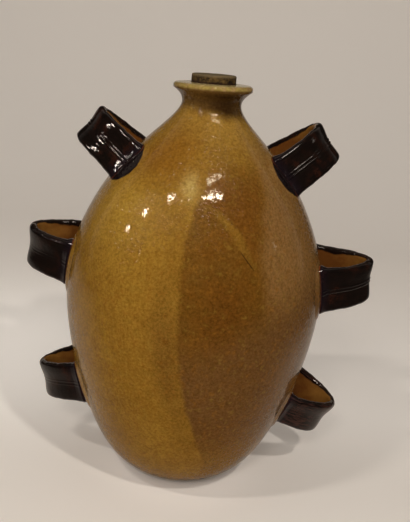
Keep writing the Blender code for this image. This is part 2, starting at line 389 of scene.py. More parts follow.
# Radius and height of the outside, from the foot's edge up to the underside of the lip.
def outerCurve(steps):
    foot, belly, lip = body["footRadius"], body["bellyRadius"], body["lipRadius"]
    neck, neckHeight = body["neckRadius"], body["neckHeight"]
    lipLow = body["rimHeight"] - body["lipEdge"]
    points = [(foot, 0.0)]
    for narrow, shares in ((foot, body["lowerShares"]), (neck, body["upperShares"])):
        points += [(narrow + r * (belly - narrow), z * neckHeight) for z, r in shares]
    points += [(neck, neckHeight)]
    points += [(neck + r * (lip - neck), neckHeight + z * (lipLow - neckHeight))
               for z, r in body["flareShares"]]
    points += [(lip, lipLow)]
    return smoothCurve(points, steps)


outline = outerCurve(body["curveSteps"])
belowNeck = outline[outline[:, 1] <= body["neckHeight"]]


def radiusAt(height):
    return np.interp(height, belowNeck[:, 1], belowNeck[:, 0])


def slopeAt(height):
    step = body["slopeStep"]
    return (radiusAt(height + step) - radiusAt(height - step)) / (2 * step)


# How much the hand-turned lip and the cork's cut top stand up towards the front and the right,
# and a shader's height with that slant taken out.
def aslant(points):
    return body["lipRightUp"] * points[..., 0] - body["lipFrontUp"] * points[..., 1]


def unslanted(x, y, z):
    return z - x * body["lipRightUp"] + y * body["lipFrontUp"]


# The outline turned round the axis: out along the foot, up the outside, over the lip, down the
# bore, back along the inside and over the floor. The outside has faint throwing ripples,
# sin(waves x height share + twice the direction), which only ever go inwards. From the neck up,
# by the square of the share of the way, the lip falls outwards and stands aslant.
def makeBody(finish):
    rim, neckHeight, floorTop = body["rimHeight"], body["neckHeight"], body["floorThickness"]
    outside = evenly(outline, body["outsideRows"])
    foot = np.linspace(body["hub"], body["footRadius"] - body["footInset"], body["footRows"])
    foot = np.stack((foot, 0 * foot), axis=1)
    lip = roundedCorner((body["lipRadius"], rim), body["lipRound"], 0, body["lipRows"])
    boreTop = cork["radius"] + cork["gap"]
    mouth = roundedCorner((boreTop, rim), body["mouthRound"], 90, body["mouthRows"])
    boreEnd = (cork["footRadius"] + cork["gap"], rim - cork["depth"])
    bore = evenly(np.concatenate((mouth[-1:], (boreEnd,))), body["boreRows"])[1:]
    along = headings(outline)
    inner = outline - body["wall"] * np.stack((along[:, 1], -along[:, 0]), axis=1)
    inUse = inner[:, 1] > floorTop + body["kneeRise"]
    inUse &= inner[:, 1] < body["innerTopShare"] * neckHeight
    inside = inner[inUse][::-1]
    knee = (inside[-1, 0] - body["kneeReach"], floorTop)
    inside = evenly(np.concatenate((bore[-1:], inside, (knee,))), body["insideRows"])[1:]
    floor = evenly(np.array((inside[-1], (body["hub"], floorTop))), body["floorRows"])[1:]
    profile = np.concatenate((foot, outside, lip, mouth, bore, inside, floor))
    angle = np.linspace(0, math.tau, body["columns"], endpoint=False)
    radius = profile[:, :1] + 0 * angle
    share = profile[:, 1:] / rim
    rippled = np.zeros((len(profile), 1))
    rippled[len(foot):len(foot) + len(outside), 0] = (
        np.sin(np.linspace(0, math.pi, len(outside))) ** 0.5)
    wave = 0.5 + 0.5 * np.sin(share * body["rippleWaves"] * math.tau + 2 * angle)
    radius -= rippled * body["ripple"] * wave
    rings = turned(radius, profile[:, 1:], angle)
    onNeck = np.clip((rings[..., 2] - neckHeight) / (rim - neckHeight), 0, 1) ** 2
    outwards = (radius - boreTop) / (body["lipRadius"] - boreTop)
    rings[..., 2] -= onNeck * body["lipFall"] * np.clip(outwards, 0, 1) ** 2
    rings[..., 2] += onNeck * aslant(rings)
    return makePiece("glazed_body", rings, ((0, 0, 0), (0, 0, floorTop)), finish)


# The cork, turned the same way, with pits: each a bell-shaped dent at a seeded place.
def makeCork(finish):
    radius, foot, bevel, hub = cork["radius"], cork["footRadius"], cork["bevel"], cork["hub"]
    stand, low, rim = cork["stand"], -cork["depth"], body["rimHeight"]
    line = np.array(((hub, low), (foot - bevel, low), (foot, bevel + low), (radius, 0.0),
                     (radius, stand - bevel)))
    edge = roundedCorner((radius, stand), bevel, 0, cork["edgeRows"])
    line = evenly(np.concatenate((line, edge, ((hub, stand),))), cork["rows"])
    angle = np.linspace(0, math.tau, cork["columns"], endpoint=False)
    rings = turned(line[:, :1], line[:, 1:], angle)
    along = headings(line)
    outward = turned(along[:, 1:], -along[:, :1], angle)
    draw = np.random.default_rng(cork["seed"])
    picks = draw.integers(0, rings.shape[0] * rings.shape[1], cork["pits"])
    centres = rings.reshape(-1, 3)[picks]
    widths = cork["pitWidth"] * draw.uniform(*cork["widthShares"], cork["pits"])
    depths = cork["pitDepth"] * draw.uniform(*cork["depthShares"], cork["pits"])
    away = np.linalg.norm(rings[:, :, None] - centres, axis=-1) / widths
    dent = (depths * np.exp(-away ** 2)).max(axis=-1)
    rings -= dent[..., None] * outward
    rings[..., 2] += rim + aslant(rings) * np.clip(rings[..., 2] / stand, 0, 1)
    return makePiece("pitted_cork", rings, ((0, 0, rim + low), (0, 0, rim + stand)), finish)


# The straps. Angles are in degrees, and a handle's reach, width and fullness are shares, all as
# in the CAD model. Ridged and dipped say how strong its two ridges are, and how far the dark
# glaze ran over its front coil, if it did. Trim is what a front foot lacks in width on its upper
# side, and it begins and grows by the way from the middle over the half width.
strap = {
    "halfWidth": 0.032, "reach": 0.044, "root": 0.008, "rootOverrun": 0.005,
    "width": 0.036, "thickness": 0.0068, "outerEdge": 0.0034, "innerEdge": 0.0030,
    "dish": 0.0014, "ridge": 0.00034, "ridgePlace": 0.0014, "ridgeWidth": 0.0006, "ridgeSpan": 2.5,
    "spread": 0.12, "flare": 0.0030, "bulge": 0.0042, "flareReach": 0.008,
    "sunk": 0.003, "seatReach": 0.006, "trimFrom": 0.4, "trimOver": 1.3, "trimPower": 1.5,
    "widthWaver": 0.00035, "widthWaves": 1.0,
    "edgeWaver": 0.00025, "edgeWaves": 4.0, "edgeShift": 0.6,
    "samples": 1441, "rings": 260, "rootRings": 8, "faceColumns": 13, "ridgeColumns": 25,
    "innerColumns": 18, "outerEdgeColumns": 9, "innerEdgeColumns": 7,
}
rowHeights = {"upper": 0.848, "middle": 0.573, "lower": 0.239}
handles = {
    "upper_left": {"direction": 174.0, "lean": -4.5, "turn": 6.0, "reach": 0.99, "width": 0.96,
                   "full": 0.81, "ridged": 1.0, "dipped": 1.0},
    "upper_right": {"direction": 9.5, "lean": -3.5, "turn": -4.0, "reach": 1.07, "width": 0.99,
                    "full": 0.95, "ridged": 1.5, "dipped": 0.8},
    "middle_left": {"direction": 172.5, "lean": -3.5, "turn": -2.5, "reach": 0.98, "width": 1.03,
                    "full": 0.95, "ridged": 0.2},
    "middle_right": {"direction": 2.5, "lean": -4.0, "turn": 5.0, "reach": 1.06, "width": 1.08,
                     "full": 0.83, "ridged": 1.4},
    "lower_left": {"direction": 177.0, "lean": 2.5, "turn": 2.5, "reach": 0.90, "width": 0.97,
                   "full": 0.86, "ridged": 0.5},
    "lower_right": {"direction": 1.5, "lean": -10.5, "turn": 4.0, "reach": 1.03, "width": 0.96,
                    "full": 0.93, "ridged": 0.1, "trim": 0.0065},
}
# The coils. A margin is nought at the strap's foot and one at the coil's outer side.
coil = {
    "height": 0.0018, "sideMargin": 0.0122, "endMargin": 0.0044, "square": 0.7, "endDrop": 0.6,
    "margins": (-0.4, 1.2), "crest": 0.45, "innerEnd": -0.3, "outerEnd": 1.08, "valley": 0.5,
    "dippedCrest": -0.2, "glazeStart": 0.1, "glazeReach": 0.95,
    "uneven": 0.10, "unevenWaves": 2.0, "bury": 0.0002, "buryFrom": 1.0, "underside": 0.003,
    "columns": 96, "rings": 44,
}
# How far to each side of a handle's root the wall is looked for, and how often that is halved.
search = {"reach": 0.05, "halvings": 40}


# The handle's own frame on the wall: x out of the wall, z up it, and y level.
def handleFrame(place):
    given = handles[place]
    height = rowHeights[place.split("_")[0]] * body["neckHeight"]
    direction = math.radians(given["direction"])
    tilt = math.atan(-slopeAt(height)) + math.radians(given["lean"])
    radius = radiusAt(height)
    location = Vector((radius * math.cos(direction), radius * math.sin(direction), height))
    facing = Matrix.Rotation(direction, 4, "Z") @ Matrix.Rotation(-tilt, 4, "Y")
    twist = Matrix.Rotation(math.radians(given["turn"]), 4, "X")
    return np.array(Matrix.Translation(location) @ facing @ twist)


def toWorld(axes, points):
    return points @ axes[:3, :3].T + axes[:3, 3]


# How far along the handle's x axis the wall lies at y and z, by halving the range again and again.
def wallAt(axes, y, z):
    base = axes[:3, 3] + y[..., None] * axes[:3, 1] + z[..., None] * axes[:3, 2]
    low = np.full(y.shape, -search["reach"])
    high = np.full(y.shape, search["reach"])
    for _ in range(search["halvings"]):
        middle = (low + high) / 2
        point = base + middle[..., None] * axes[:3, 0]
        outside = np.hypot(point[..., 0], point[..., 1]) > radiusAt(point[..., 2])
        high = np.where(outside, middle, high)
        low = np.where(outside, low, middle)
    return low


# Across the strap: z over its width, and v through it, nought on the outer face. The outer face is
# dished by the square of a cosine, with two fine bell-shaped ridges beside the line that a tool
# drew along its middle. The third column is the way over the surface from the outer corner, less
# than nought on the outer face.
def strapSection(width, ridged):
    half, thickness = width / 2, strap["thickness"]
    flat = half - strap["outerEdge"]
    line = strap["ridgePlace"] + strap["ridgeSpan"] * strap["ridgeWidth"]
    z = np.concatenate((np.linspace(-flat, -line, strap["faceColumns"])[:-1],
                        np.linspace(-line, line, strap["ridgeColumns"]),
                        np.linspace(line, flat, strap["faceColumns"])[1:]))
    v = -strap["dish"] * np.cos(0.5 * math.pi * z / flat) ** 2
    offRidge = (np.abs(z) - strap["ridgePlace"]) / strap["ridgeWidth"]
    v += ridged * strap["ridge"] * np.exp(-offRidge ** 2)
    outer = np.stack((z, v), axis=1)
    rightTop = roundedCorner((half, 0.0), strap["outerEdge"], 0, strap["outerEdgeColumns"])[::-1]
    rightLow = roundedCorner((half, -thickness), strap["innerEdge"], -90,
                             strap["innerEdgeColumns"])[::-1]
    flat = half - strap["innerEdge"]
    inner = np.linspace(flat, -flat, strap["innerColumns"] + 2)[1:-1]
    inner = np.stack((inner, np.full(len(inner), -thickness)), axis=1)
    left = (rightLow * (-1, 1))[::-1]
    leftTop = (rightTop * (-1, 1))[::-1]
    line = np.concatenate((outer[1:-1], rightTop, rightLow, inner, left, leftTop))
    over = half - np.abs(line[:, 0])
    onInner = line[:, 1] < 0.5 * outer[:, 1].min() - 0.5 * thickness
    way = np.where(onInner, over, -over) - line[:, 1].clip(max=0)
    return np.column_stack((line, way))


# The strap: its section carried along half a rounded loop, |sin|^power out of the wall and
# |cos|^power along it, with straight roots. Near the wall it is wider and thicker, and its outer
# face bulges by the square of a cosine, all times exp(-distance / reach). Its upper side is
# trimmed towards the front foot by a power of the way. Its ends are drawn along x to lie a little
# under the wall's face.
def makeStrap(place, finish):
    given = handles[place]
    axes = handleFrame(place)
    seed = sum(map(ord, place))
    reach = strap["reach"] * given["reach"]
    angle = np.linspace(0, math.pi, strap["samples"])
    power = 1 / given["full"]
    x = -strap["root"] + (reach + strap["root"]) * np.abs(np.sin(angle)) ** power
    y = strap["halfWidth"] * np.sign(np.cos(angle)) * np.abs(np.cos(angle)) ** power
    loop = evenly(np.stack((x, y), axis=1), strap["rings"])
    back = np.linspace(strap["rootOverrun"], 0, strap["rootRings"], endpoint=False)
    root = np.stack((back, 0 * back), axis=1)
    path = np.concatenate((loop[0] - root, loop, (loop[-1] - root)[::-1]))
    along = headings(path)
    outward = np.stack((-along[:, 1], along[:, 0]), axis=1)[:, None]
    run = runOf(path)
    run -= run[-1] / 2
    section = strapSection(strap["width"] * given["width"], given["ridged"])
    across, through = section[None, :, 0], section[None, :, 1]
    halfWidth = across.max()
    wallPath = wallAt(axes, path[:, 1], 0 * path[:, 1])
    pressed = np.exp(-np.maximum(path[:, 0] - wallPath, 0) / strap["flareReach"])[:, None]

    share = run[:, None] / run[-1]
    strays = strap["widthWaver"] * waver(share + 0 * across, strap["widthWaves"], seed)
    side = strap["edgeShift"] * np.sign(across)
    edges = strap["edgeWaver"] * waver(share + side, strap["edgeWaves"], seed + 1)
    toFront = run * (-1 if place.endswith("left") else 1) / strap["halfWidth"]
    trimmed = np.clip((toFront[:, None] - strap["trimFrom"]) / strap["trimOver"], 0, 1)
    trimmed = given.get("trim", 0.0) / halfWidth * trimmed ** strap["trimPower"]
    z = across * (1 + strap["spread"] * pressed)
    z = np.where(z > 0, z * (1 - trimmed), z)
    z = z + strays + edges * np.abs(across / halfWidth) ** 3
    inwards = -through / strap["thickness"]
    bulge = strap["bulge"] * np.cos(0.5 * math.pi * across / halfWidth) ** 2
    swell = (strap["flare"] + bulge) * (1 - inwards) - strap["flare"] * inwards
    v = through + pressed * swell
    flat = path[:, None] + v[..., None] * outward
    points = np.concatenate((flat, z[..., None]), axis=-1)

    wall = wallAt(axes, points[..., 1], points[..., 2])
    for order in (slice(None), slice(None, None, -1)):
        seen, depth = points[order], wall[order]
        last = int(np.argmax(path[order][:, 0] > wallPath[order] + strap["seatReach"]))
        span = seen[last, :, 0] - seen[0, :, 0]
        part = (seen[last, :, 0] - seen[:last + 1, :, 0]) / span
        seen[:last + 1, :, 0] += part * (depth[0] - strap["sunk"] - seen[0, :, 0])
    places = np.stack((run[:, None] + 0 * z, across + 0 * z, points[..., 0] - wall), axis=-1)
    faces = np.stack((section[None, :, 2] + 0 * z, toFront[:, None] + 0 * z, 0 * z), axis=-1)
    tips = toWorld(axes, np.stack((points[0].mean(axis=0), points[-1].mean(axis=0))))
    marks = {"strapPlace": places, "strapFace": faces}
    return makePiece("strap_" + place, toWorld(axes, points), tips, finish, marks)


# The coil: rings round the strap's foot, squared off by |cos|^square and |sin|^square, that lie
# on the wall and are lifted off it along its normal. The lift is a smooth step up to the crest and
# one down to the outer side, and inside the crest it falls only to the valley's share. On the
# upper handles the dark glaze ran over the front coils, as far as the reach x (1 - up squared).
def makeCoil(place, end, side, finish):
    axes = handleFrame(place)
    footY = side * (strap["halfWidth"] - strap["thickness"] / 2)
    footHalf = strap["width"] * handles[place]["width"] * (1 + strap["spread"]) / 2
    angle = np.linspace(0, math.tau, coil["columns"], endpoint=False)
    across = np.sign(np.cos(angle)) * np.abs(np.cos(angle)) ** coil["square"]
    up = np.sign(np.sin(angle)) * np.abs(np.sin(angle)) ** coil["square"]
    margin = np.linspace(*coil["margins"], coil["rings"])[:, None]
    seed = sum(map(ord, place + end))
    uneven = 1 + coil["uneven"] * waver(angle[None] / math.tau, coil["unevenWaves"], seed)
    sideways = strap["thickness"] / 2 + strap["flare"] + margin * coil["sideMargin"] * uneven
    y = footY + across * sideways
    z = up * (footHalf + margin * coil["endMargin"] * uneven)
    dipped = handles[place].get("dipped", 0.0) * (end == "front")
    crest = coil["crest"] + (coil["dippedCrest"] - coil["crest"]) * dipped
    away = margin - crest
    outer, inner = coil["outerEnd"] - crest, crest - coil["innerEnd"]
    step = np.clip(np.where(away > 0, away / outer, -away / inner), 0, 1)
    fall = (1 - step) ** 2 * (1 + 2 * step)
    fall = np.where(away > 0, fall, coil["valley"] + (1 - coil["valley"]) * fall)
    height = coil["height"] * (1 - coil["endDrop"] * up ** 4)
    buried = (margin - coil["buryFrom"]) / (coil["margins"][1] - coil["buryFrom"])
    lift = height * fall - coil["bury"] * np.clip(buried, 0, 1)
    point = toWorld(axes, np.stack((wallAt(axes, y, z), y, z), axis=-1))
    level = np.hypot(point[..., 0], point[..., 1])
    normal = (point[..., 0] / level, point[..., 1] / level, -slopeAt(point[..., 2]))
    normal = np.stack(normal, axis=-1)
    normal /= np.linalg.norm(normal, axis=-1)[..., None]
    rings = point + lift[..., None] * normal
    under = point[-1:] - coil["underside"] * normal[-1:]
    rings = np.concatenate((rings, under))
    tips = (rings[0].mean(axis=0), under[0].mean(axis=0))
    reach = dipped * (coil["glazeStart"] + coil["glazeReach"] * (1 - up ** 2))
    reach = reach - margin * (dipped > 0)
    reach = np.concatenate((reach, reach[-1:]))
    marks = {"glazeReach": np.stack((reach, 0 * reach, 0 * reach), axis=-1)}
    return makePiece("coil_" + place + "_" + end, rings, tips, finish, marks)


# The body's glaze. Colours are linear, and a noise is its scale, detail, roughness and shift. A
# line is pairs of a height and a direction, but for the violet's, which has the direction first.
# A pair of numbers is a fade's start and end, a bell's place and width, or a lean's height and
# degrees per millimetre.
glaze = {
    "ochre": (0.288, 0.151, 0.019),
    "honey": (0.218, 0.100, 0.012),
    "rust": (0.136, 0.049, 0.007),
    "brown": (0.126, 0.057, 0.011),
    "halfway": (0.84, 0.84, 0.72),
    "deep": (0.100, 0.034, 0.005),
    "straw": (0.500, 0.350, 0.110),
    "violet": (0.125, 0.060, 0.022),
    "tan": (0.250, 0.132, 0.044),
    "shoulder": (0.370, 0.215, 0.048),
    "olive": (0.235, 0.140, 0.020),
    "lemon": (0.400, 0.225, 0.030),
    "orange": (0.222, 0.090, 0.009),
    "russet": (0.215, 0.085, 0.010),
    "neckDark": (0.022, 0.0088, 0.0032),
    "lipGreen": (0.300, 0.210, 0.056),
    "lipPink": (0.335, 0.205, 0.084),
    "lipBrown": (0.145, 0.074, 0.018),
    "lipTop": (0.560, 0.430, 0.200),
    "runOver": (0.006, 0.0026, 0.0030),
    "speckleDark": (0.66, 0.62, 0.54),
    "speckleLight": (1.12, 1.14, 1.17),
    "specularTint": (1.0, 0.84, 0.62),
    "noises": {
        "wide": (14.0, 3.0, 0.55), "cloud": (60.0, 4.0, 0.6, 3.1),
        "blotch": (105.0, 3.0, 0.6, 17.0), "mottle": (190.0, 3.0, 0.6, 11.0),
        "dimple": (230.0, 2.0, 0.5, 9.0), "grain": (480.0, 2.0, 0.6, 7.7),
        "peel": (520.0, 1.0, 0.5, 5.0), "fine": (1200.0, 1.0, 0.5, 1.3),
    },
    "border": ((46, 15.6), (59, 11.5), (74, 8.0), (91, 4.4), (111, 0.6), (134, -2.0),
               (160, -4.2), (177, -4.9), (200, -5.7), (222, -6.0), (239, -6.2), (253, -4.8),
               (267, -2.8), (280, 1.0), (293, 6.0), (312, 10.0)),
    "leafLine": ((208, 33.0), (220, 29.3), (234, 25.0), (241, 22.3), (248, 20.7), (253, 17.9),
                 (258, 13.9), (263, 10.9), (268, 2.0)),
    "bandLine": ((205, 27.0), (238, 26.7), (248, 29.3), (258, 30.0), (268, 34.0), (290, 40.0)),
    "violetLine": ((1.3, 151), (7, 156), (14.8, 161), (20.4, 171), (29.6, 182), (41, 191),
                   (60, 205)),
    "wander": 5.0, "borderEdge": (-1.6, 1.8), "borderSoftUp": (262.0, 284.0),
    "backEnd": (158.0, 146.0), "overlapTop": (318.0, 262.0), "overlapFoot": (18.0, 85.0),
    "overlapShare": 0.85, "halfwayUp": (185.0, 58.0), "neckSide": (26.0, 56.0),
    "streakLean": (278.0, 0.12), "crackLean": (236.0, 0.445), "ragged": 9.0, "neckRise": 150.0,
    "lipRagged": 1.6, "pinkMottle": (0.50, 0.62), "spillStart": (0.0, 0.02),
    "spillEdge": (0.0, 0.12),
    "speckle": {"grain": 2.3, "fine": 1.0, "blotch": 0.7}, "speckleLevel": 0.55,
    "peelTop": (0.54, 0.70), "relief": {"peelTop": 0.00011, "peel": 0.00005, "dimple": 0.00006},
    "roughness": 0.05, "unevenGloss": 0.06, "ior": 1.37,
    "layers": (
        ("brown", 0.65, ("beyond", "bell", -5.0, 7.0), ("height", "bell", 150.0, 75.0)),
        ("rust", 0.65, ("leaf", "fade", -1.0, 1.4), ("band", "fade", 3.0, -3.0),
         ("height", "fade", 196.0, 216.0), ("height", "fade", 300.0, 276.0)),
        ("ochre", 0.55, ("leafRim", "bell", -2.4, 2.6), ("height", "bell", 250.0, 15.0),
         ("past",)),
        # Painted pale sheen: tan on the right side, standing in for the pale room's reflection
        # there.
        ("tan", 0.6, ("band", "fade", 0.0, 9.0), ("height", "fade", 160.0, 215.0),
         ("height", "fade", 322.0, 300.0), ("notBack",)),
        ("deep", 0.75, ("turn", "bell", 13.0, 11.0), ("height", "bell", 188.0, 34.0)),
        ("violet", 0.55, ("belowViolet", "fade", -22.0, 22.0), ("height", "fade", 40.0, 105.0),
         ("past",), ("notBack",)),
        ("straw", 0.9, ("streak", "bell", -8.0, 5.5), ("height", "bell", 279.0, 9.0)),
        ("tan", 0.6, ("height", "fade", 30.0, 2.0)),
        ("russet", 0.45, ("mottle", "fade", 0.50, 0.74)),
        ("olive", 0.35, ("mottle", "fade", 0.46, 0.26)),
        ("shoulder", 0.3, ("height", "fade", 292.0, 318.0), ("thin",)),
        # Painted light: the upper left made a paler yellow, as if lit more.
        ("lemon", 0.75, ("turn", "bell", -48.0, 26.0), ("height", "bell", 258.0, 32.0)),
        ("orange", 0.8, ("turn", "bell", -34.0, 27.0), ("height", "bell", 297.0, 19.0),
         ("clouded",)),
        # Painted shade and dark reflection on the neck under the lip, darkest right of the front
        # and lower down on the right.
        ("neckShade", 0.94, ("ragged", "fade", 324.0, 334.0)),
        # Painted shade on the underside of the lip.
        ("lipBrown", 0.55, ("level", "fade", 342.0, 346.0)),
        ("lipPatch", 1.0, ("mottledLevel", "fade", 346.2, 348.2)),
        # Painted light: the top of the lip made paler.
        ("lipTop", 0.7, ("level", "fade", 349.8, 350.9)),
        ("neckDark", 0.9, ("crack", "bell", 19.7, 0.3), ("height", "fade", 222.0, 226.0),
         ("height", "fade", 238.0, 234.0)),
    ),
}


# Ochre and honey clouds, and right of a border brown and rust over them, with painted shade across
# the middle of that dark half. The layers follow: patches, among them a painted pale sheen on the
# right and painted light on the upper left, painted shade on the neck and under the lip, the pale
# lip with painted light on its top, and the crack, and at last the speckle and the dark glaze that
# ran over the coils.
def bodyGlaze(name):
    paint, noises, x, y, z = newPaint(name, glaze["noises"])
    turn = x.math("ARCTAN2", y * -1.0) * (180 / math.pi)
    height = z * 1000.0
    cloud, mottle = noises["cloud"], noises["mottle"]
    wander = (cloud - 0.5) * glaze["wander"]

    honeyed = (cloud * 1.6 + noises["wide"] - 0.85).clamp()
    colour = paint.mix(honeyed, glaze["ochre"], glaze["honey"])
    beyond = turn - height.curve(glaze["border"]) + wander * 0.35
    beyond = beyond * (1.0 - 0.72 * height.fade(*glaze["borderSoftUp"]))
    past = beyond.fade(*glaze["borderEdge"])
    notBack = (turn + wander).fade(*glaze["backEnd"])
    thick = 0.25 + 0.75 * height.fade(*glaze["overlapFoot"])
    overlap = past * notBack * height.fade(*glaze["overlapTop"]) * thick
    darker = paint.mix((cloud * 1.8 - 0.4).clamp(), glaze["brown"], glaze["rust"])
    colour = paint.mix(overlap * glaze["overlapShare"], colour, darker)
    # Painted shade: a multiply darkens the overlap round the middle of its height.
    halfway = overlap * height.bell(*glaze["halfwayUp"])
    colour = paint.mix(halfway, colour, glaze["halfway"], "MULTIPLY")

    pastLeaf = turn - height.curve(glaze["leafLine"])
    level = unslanted(x, y, z) * 1000.0

    def leaning(place, slope):
        return turn + (height - place) * slope

    fields = {
        **noises,
        "turn": turn, "height": height, "past": past, "notBack": notBack, "beyond": beyond,
        "leaf": pastLeaf + wander * 0.5, "leafRim": pastLeaf + wander * 0.3,
        "band": turn - height.curve(glaze["bandLine"]) + wander,
        "belowViolet": turn.curve(glaze["violetLine"]) - height + wander * 4.0,
        "streak": leaning(*glaze["streakLean"]), "crack": leaning(*glaze["crackLean"]),
        "thin": (1.1 - overlap) * (0.55 + cloud * 0.6), "clouded": cloud + 0.7,
        "ragged": height + (cloud - 0.5) * glaze["ragged"] + x * glaze["neckRise"],
        "level": level, "mottledLevel": level + (mottle - 0.5) * glaze["lipRagged"],
        "peelTop": noises["peel"].fade(*glaze["peelTop"]),
    }
    shades = dict(glaze)
    # The neck's painted shade, darkest right of the front.
    side = turn.bell(*glaze["neckSide"])
    shades["neckShade"] = paint.mix(side, glaze["lipBrown"], glaze["neckDark"])
    pink = mottle.fade(*glaze["pinkMottle"])
    shades["lipPatch"] = paint.mix(pink, glaze["lipGreen"], glaze["lipPink"])
    colour = paint.layers(colour, glaze["layers"], shades, fields)

    speckle = sum((noises[key] - 0.5) * share for key, share in glaze["speckle"].items())
    speckle = (speckle + glaze["speckleLevel"]).clamp()
    tone = paint.mix(speckle, glaze["speckleDark"], glaze["speckleLight"])
    colour = paint.mix(1.0, colour, tone, "MULTIPLY")
    spill = paint.mark("glazeReach")[0]
    spill = spill + (mottle - 0.5) * 0.25 * spill.fade(*glaze["spillStart"])
    colour = paint.mix(spill.fade(*glaze["spillEdge"]), colour, glaze["runOver"])

    normal = paint.bump(glaze["relief"], fields)
    rough = glaze["roughness"] + (cloud - 0.5) * glaze["unevenGloss"]
    return paint.finish(Base_Color=colour, Roughness=rough, Normal=normal, IOR=glaze["ior"],
                        Specular_Tint=glaze["specularTint"])


# The straps' glaze. Its places are metres off the wall, along the strap, or over its surface from
# the outer corner. The low right one is in x and in z, and the back limb's are ways from the
# middle over the half width.
dark = {
    "black": (0.0048, 0.0031, 0.0024),
    "redBrown": (0.027, 0.008, 0.004),
    "edge": (0.040, 0.024, 0.014),
    "violet": (0.013, 0.007, 0.013),
    "amber": (0.262, 0.120, 0.024),
    "amberDeep": (0.118, 0.040, 0.008),
    "footLine": (0.260, 0.060, 0.010),
    "brushed": (0.058, 0.024, 0.018),
    "grainDark": (0.75, 0.75, 0.75),
    "grainLight": (1.25, 1.25, 1.25),
    "specularTint": (1.0, 0.87, 0.78),
    "noises": {
        "wide": (13.0, 1.0, 0.5, 14.0), "cloud": (70.0, 4.0, 0.6, 2.0),
        "drift": (160.0, 3.0, 0.6, 8.0), "ripple": (240.0, 2.0, 0.5, 6.0),
        "fine": (900.0, 2.0, 0.6, 4.0),
    },
    "strokes": (900.0, 3.0, 0.6, 5.0), "lowRight": (0.02, 0.06), "lowRightUp": (0.13, 0.11),
    "backLimb": (0.15, -0.75), "midLimb": (0.040, 0.020), "outerEnd": (0.050, 0.008),
    "amberFrom": 0.0062, "amberBack": 0.0026, "amberMid": 0.0022, "amberWaver": (0.010, 0.007),
    "relief": {"ripple": 0.00009, "cloud": 0.00045, "stroke": 0.00005},
    "grainShare": 0.7, "roughness": 0.045, "unevenGloss": 0.06, "ior": 1.36,
    "layers": (
        ("redBrown", 0.7, ("clouds", "fade", 0.73, 1.03)),
        ("brushed", 1.0, ("stroke", "fade", 0.42, 0.66), ("brush",)),
        ("edge", 1.0, ("way", "bell", 0.0042, 0.0016), ("edging",)),
        ("violet", 0.35, ("off", "fade", 0.011, 0.002)),
        ("footLine", 0.8, ("off", "bell", 0.0006, 0.0008)),
        ("inner", 1.0, ("inside", "fade", -0.0006, 0.0009)),
    ),
}


# Black with red-brown clouds and brush strokes outside, and amber on the inner face, which begins
# further in on the back limb.
def strapGlaze(name):
    paint, noises, x, _, z = newPaint(name, dark["noises"])
    run, across, off = paint.mark("strapPlace")
    way, toFront, _ = paint.mark("strapFace")
    cloud, drift = noises["cloud"], noises["drift"]
    combed = {"X": run * 0.10, "Y": across, "Z": x * 0.05}
    combed = paint.node("ShaderNodeCombineXYZ", {}, combed)["Vector"]
    stroke = paint.noise(combed, *dark["strokes"])

    along = run.size()
    inset = dark["amberBack"] + along.bell(*dark["midLimb"]) * dark["amberMid"]
    limit = dark["amberFrom"] + toFront.fade(*dark["backLimb"]) * inset
    wideWaver, cloudWaver = dark["amberWaver"]
    limit = limit + (noises["wide"] - 0.5) * wideWaver + (cloud - 0.5) * cloudWaver
    bright = (along.fade(*dark["outerEnd"]) * 0.7 + cloud * 1.6 - 0.85).clamp()
    fields = {
        **noises,
        "clouds": cloud + drift * 0.5, "stroke": stroke, "way": way, "off": off,
        "brush": 0.07 + 0.6 * x.fade(*dark["lowRight"]) * z.fade(*dark["lowRightUp"]),
        "edging": 0.05 + drift * 0.8, "inside": way - limit,
    }
    shades = dict(dark)
    shades["inner"] = paint.mix(bright, dark["amberDeep"], dark["amber"])
    colour = paint.layers(dark["black"], dark["layers"], shades, fields)
    grain = paint.mix(noises["fine"], dark["grainDark"], dark["grainLight"])
    colour = paint.mix(dark["grainShare"], colour, grain, "MULTIPLY")

    normal = paint.bump(dark["relief"], fields)
    rough = dark["roughness"] + (drift - 0.45) * dark["unevenGloss"]
    return paint.finish(Base_Color=colour, Roughness=rough, Normal=normal, IOR=dark["ior"],
                        Specular_Tint=dark["specularTint"])


# The cork's finish, with painted light on its cut top and darker just above the lip. Its level is
# metres above the table, along the slant of its top.
corkSkin = {
    "brown": (0.014, 0.008, 0.004),
    "tan": (0.114, 0.066, 0.019),
    "pit": (0.010, 0.007, 0.005),
    "top": (0.185, 0.132, 0.064),
    "damp": (0.020, 0.006, 0.003),
    "noises": {"cloud": (170.0, 4.0, 0.65), "grain": (800.0, 3.0, 0.6, 3.0)},
    "layers": (
        ("tan", 1.0, ("cloud", "fade", 0.36, 0.64)),
        ("pit", 1.0, ("grain", "fade", 0.48, 0.38)),
        # Painted light: the cork's top made lighter.
        ("top", 0.6, ("level", "fade", 0.3552, 0.3575)),
        # Darker just above the lip's rim.
        ("damp", 0.8, ("level", "fade", 0.3529, 0.3515)),
    ),
    "relief": {"grain": 0.0006, "cloud": 0.0008}, "roughness": 0.85, "ior": 1.25,
}


def corkFinish(name):
    paint, fields, x, y, z = newPaint(name, corkSkin["noises"])
    fields["level"] = unslanted(x, y, z)
    colour = paint.layers(corkSkin["brown"], corkSkin["layers"], corkSkin, fields)
    normal = paint.bump(corkSkin["relief"], fields)
    return paint.finish(Base_Color=colour, Roughness=corkSkin["roughness"], Normal=normal,
                        IOR=corkSkin["ior"])


vesselGlaze, clayGlaze = bodyGlaze("amber_glaze_fired"), bodyGlaze("amber_clay_fired")
handleGlaze, oldCork = strapGlaze("dark_glaze_fired"), corkFinish("old_cork")
print("finishes mixed")

glazedBody = makeBody(vesselGlaze)
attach(glazedBody, "vessel")
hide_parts("body")
print("body thrown")

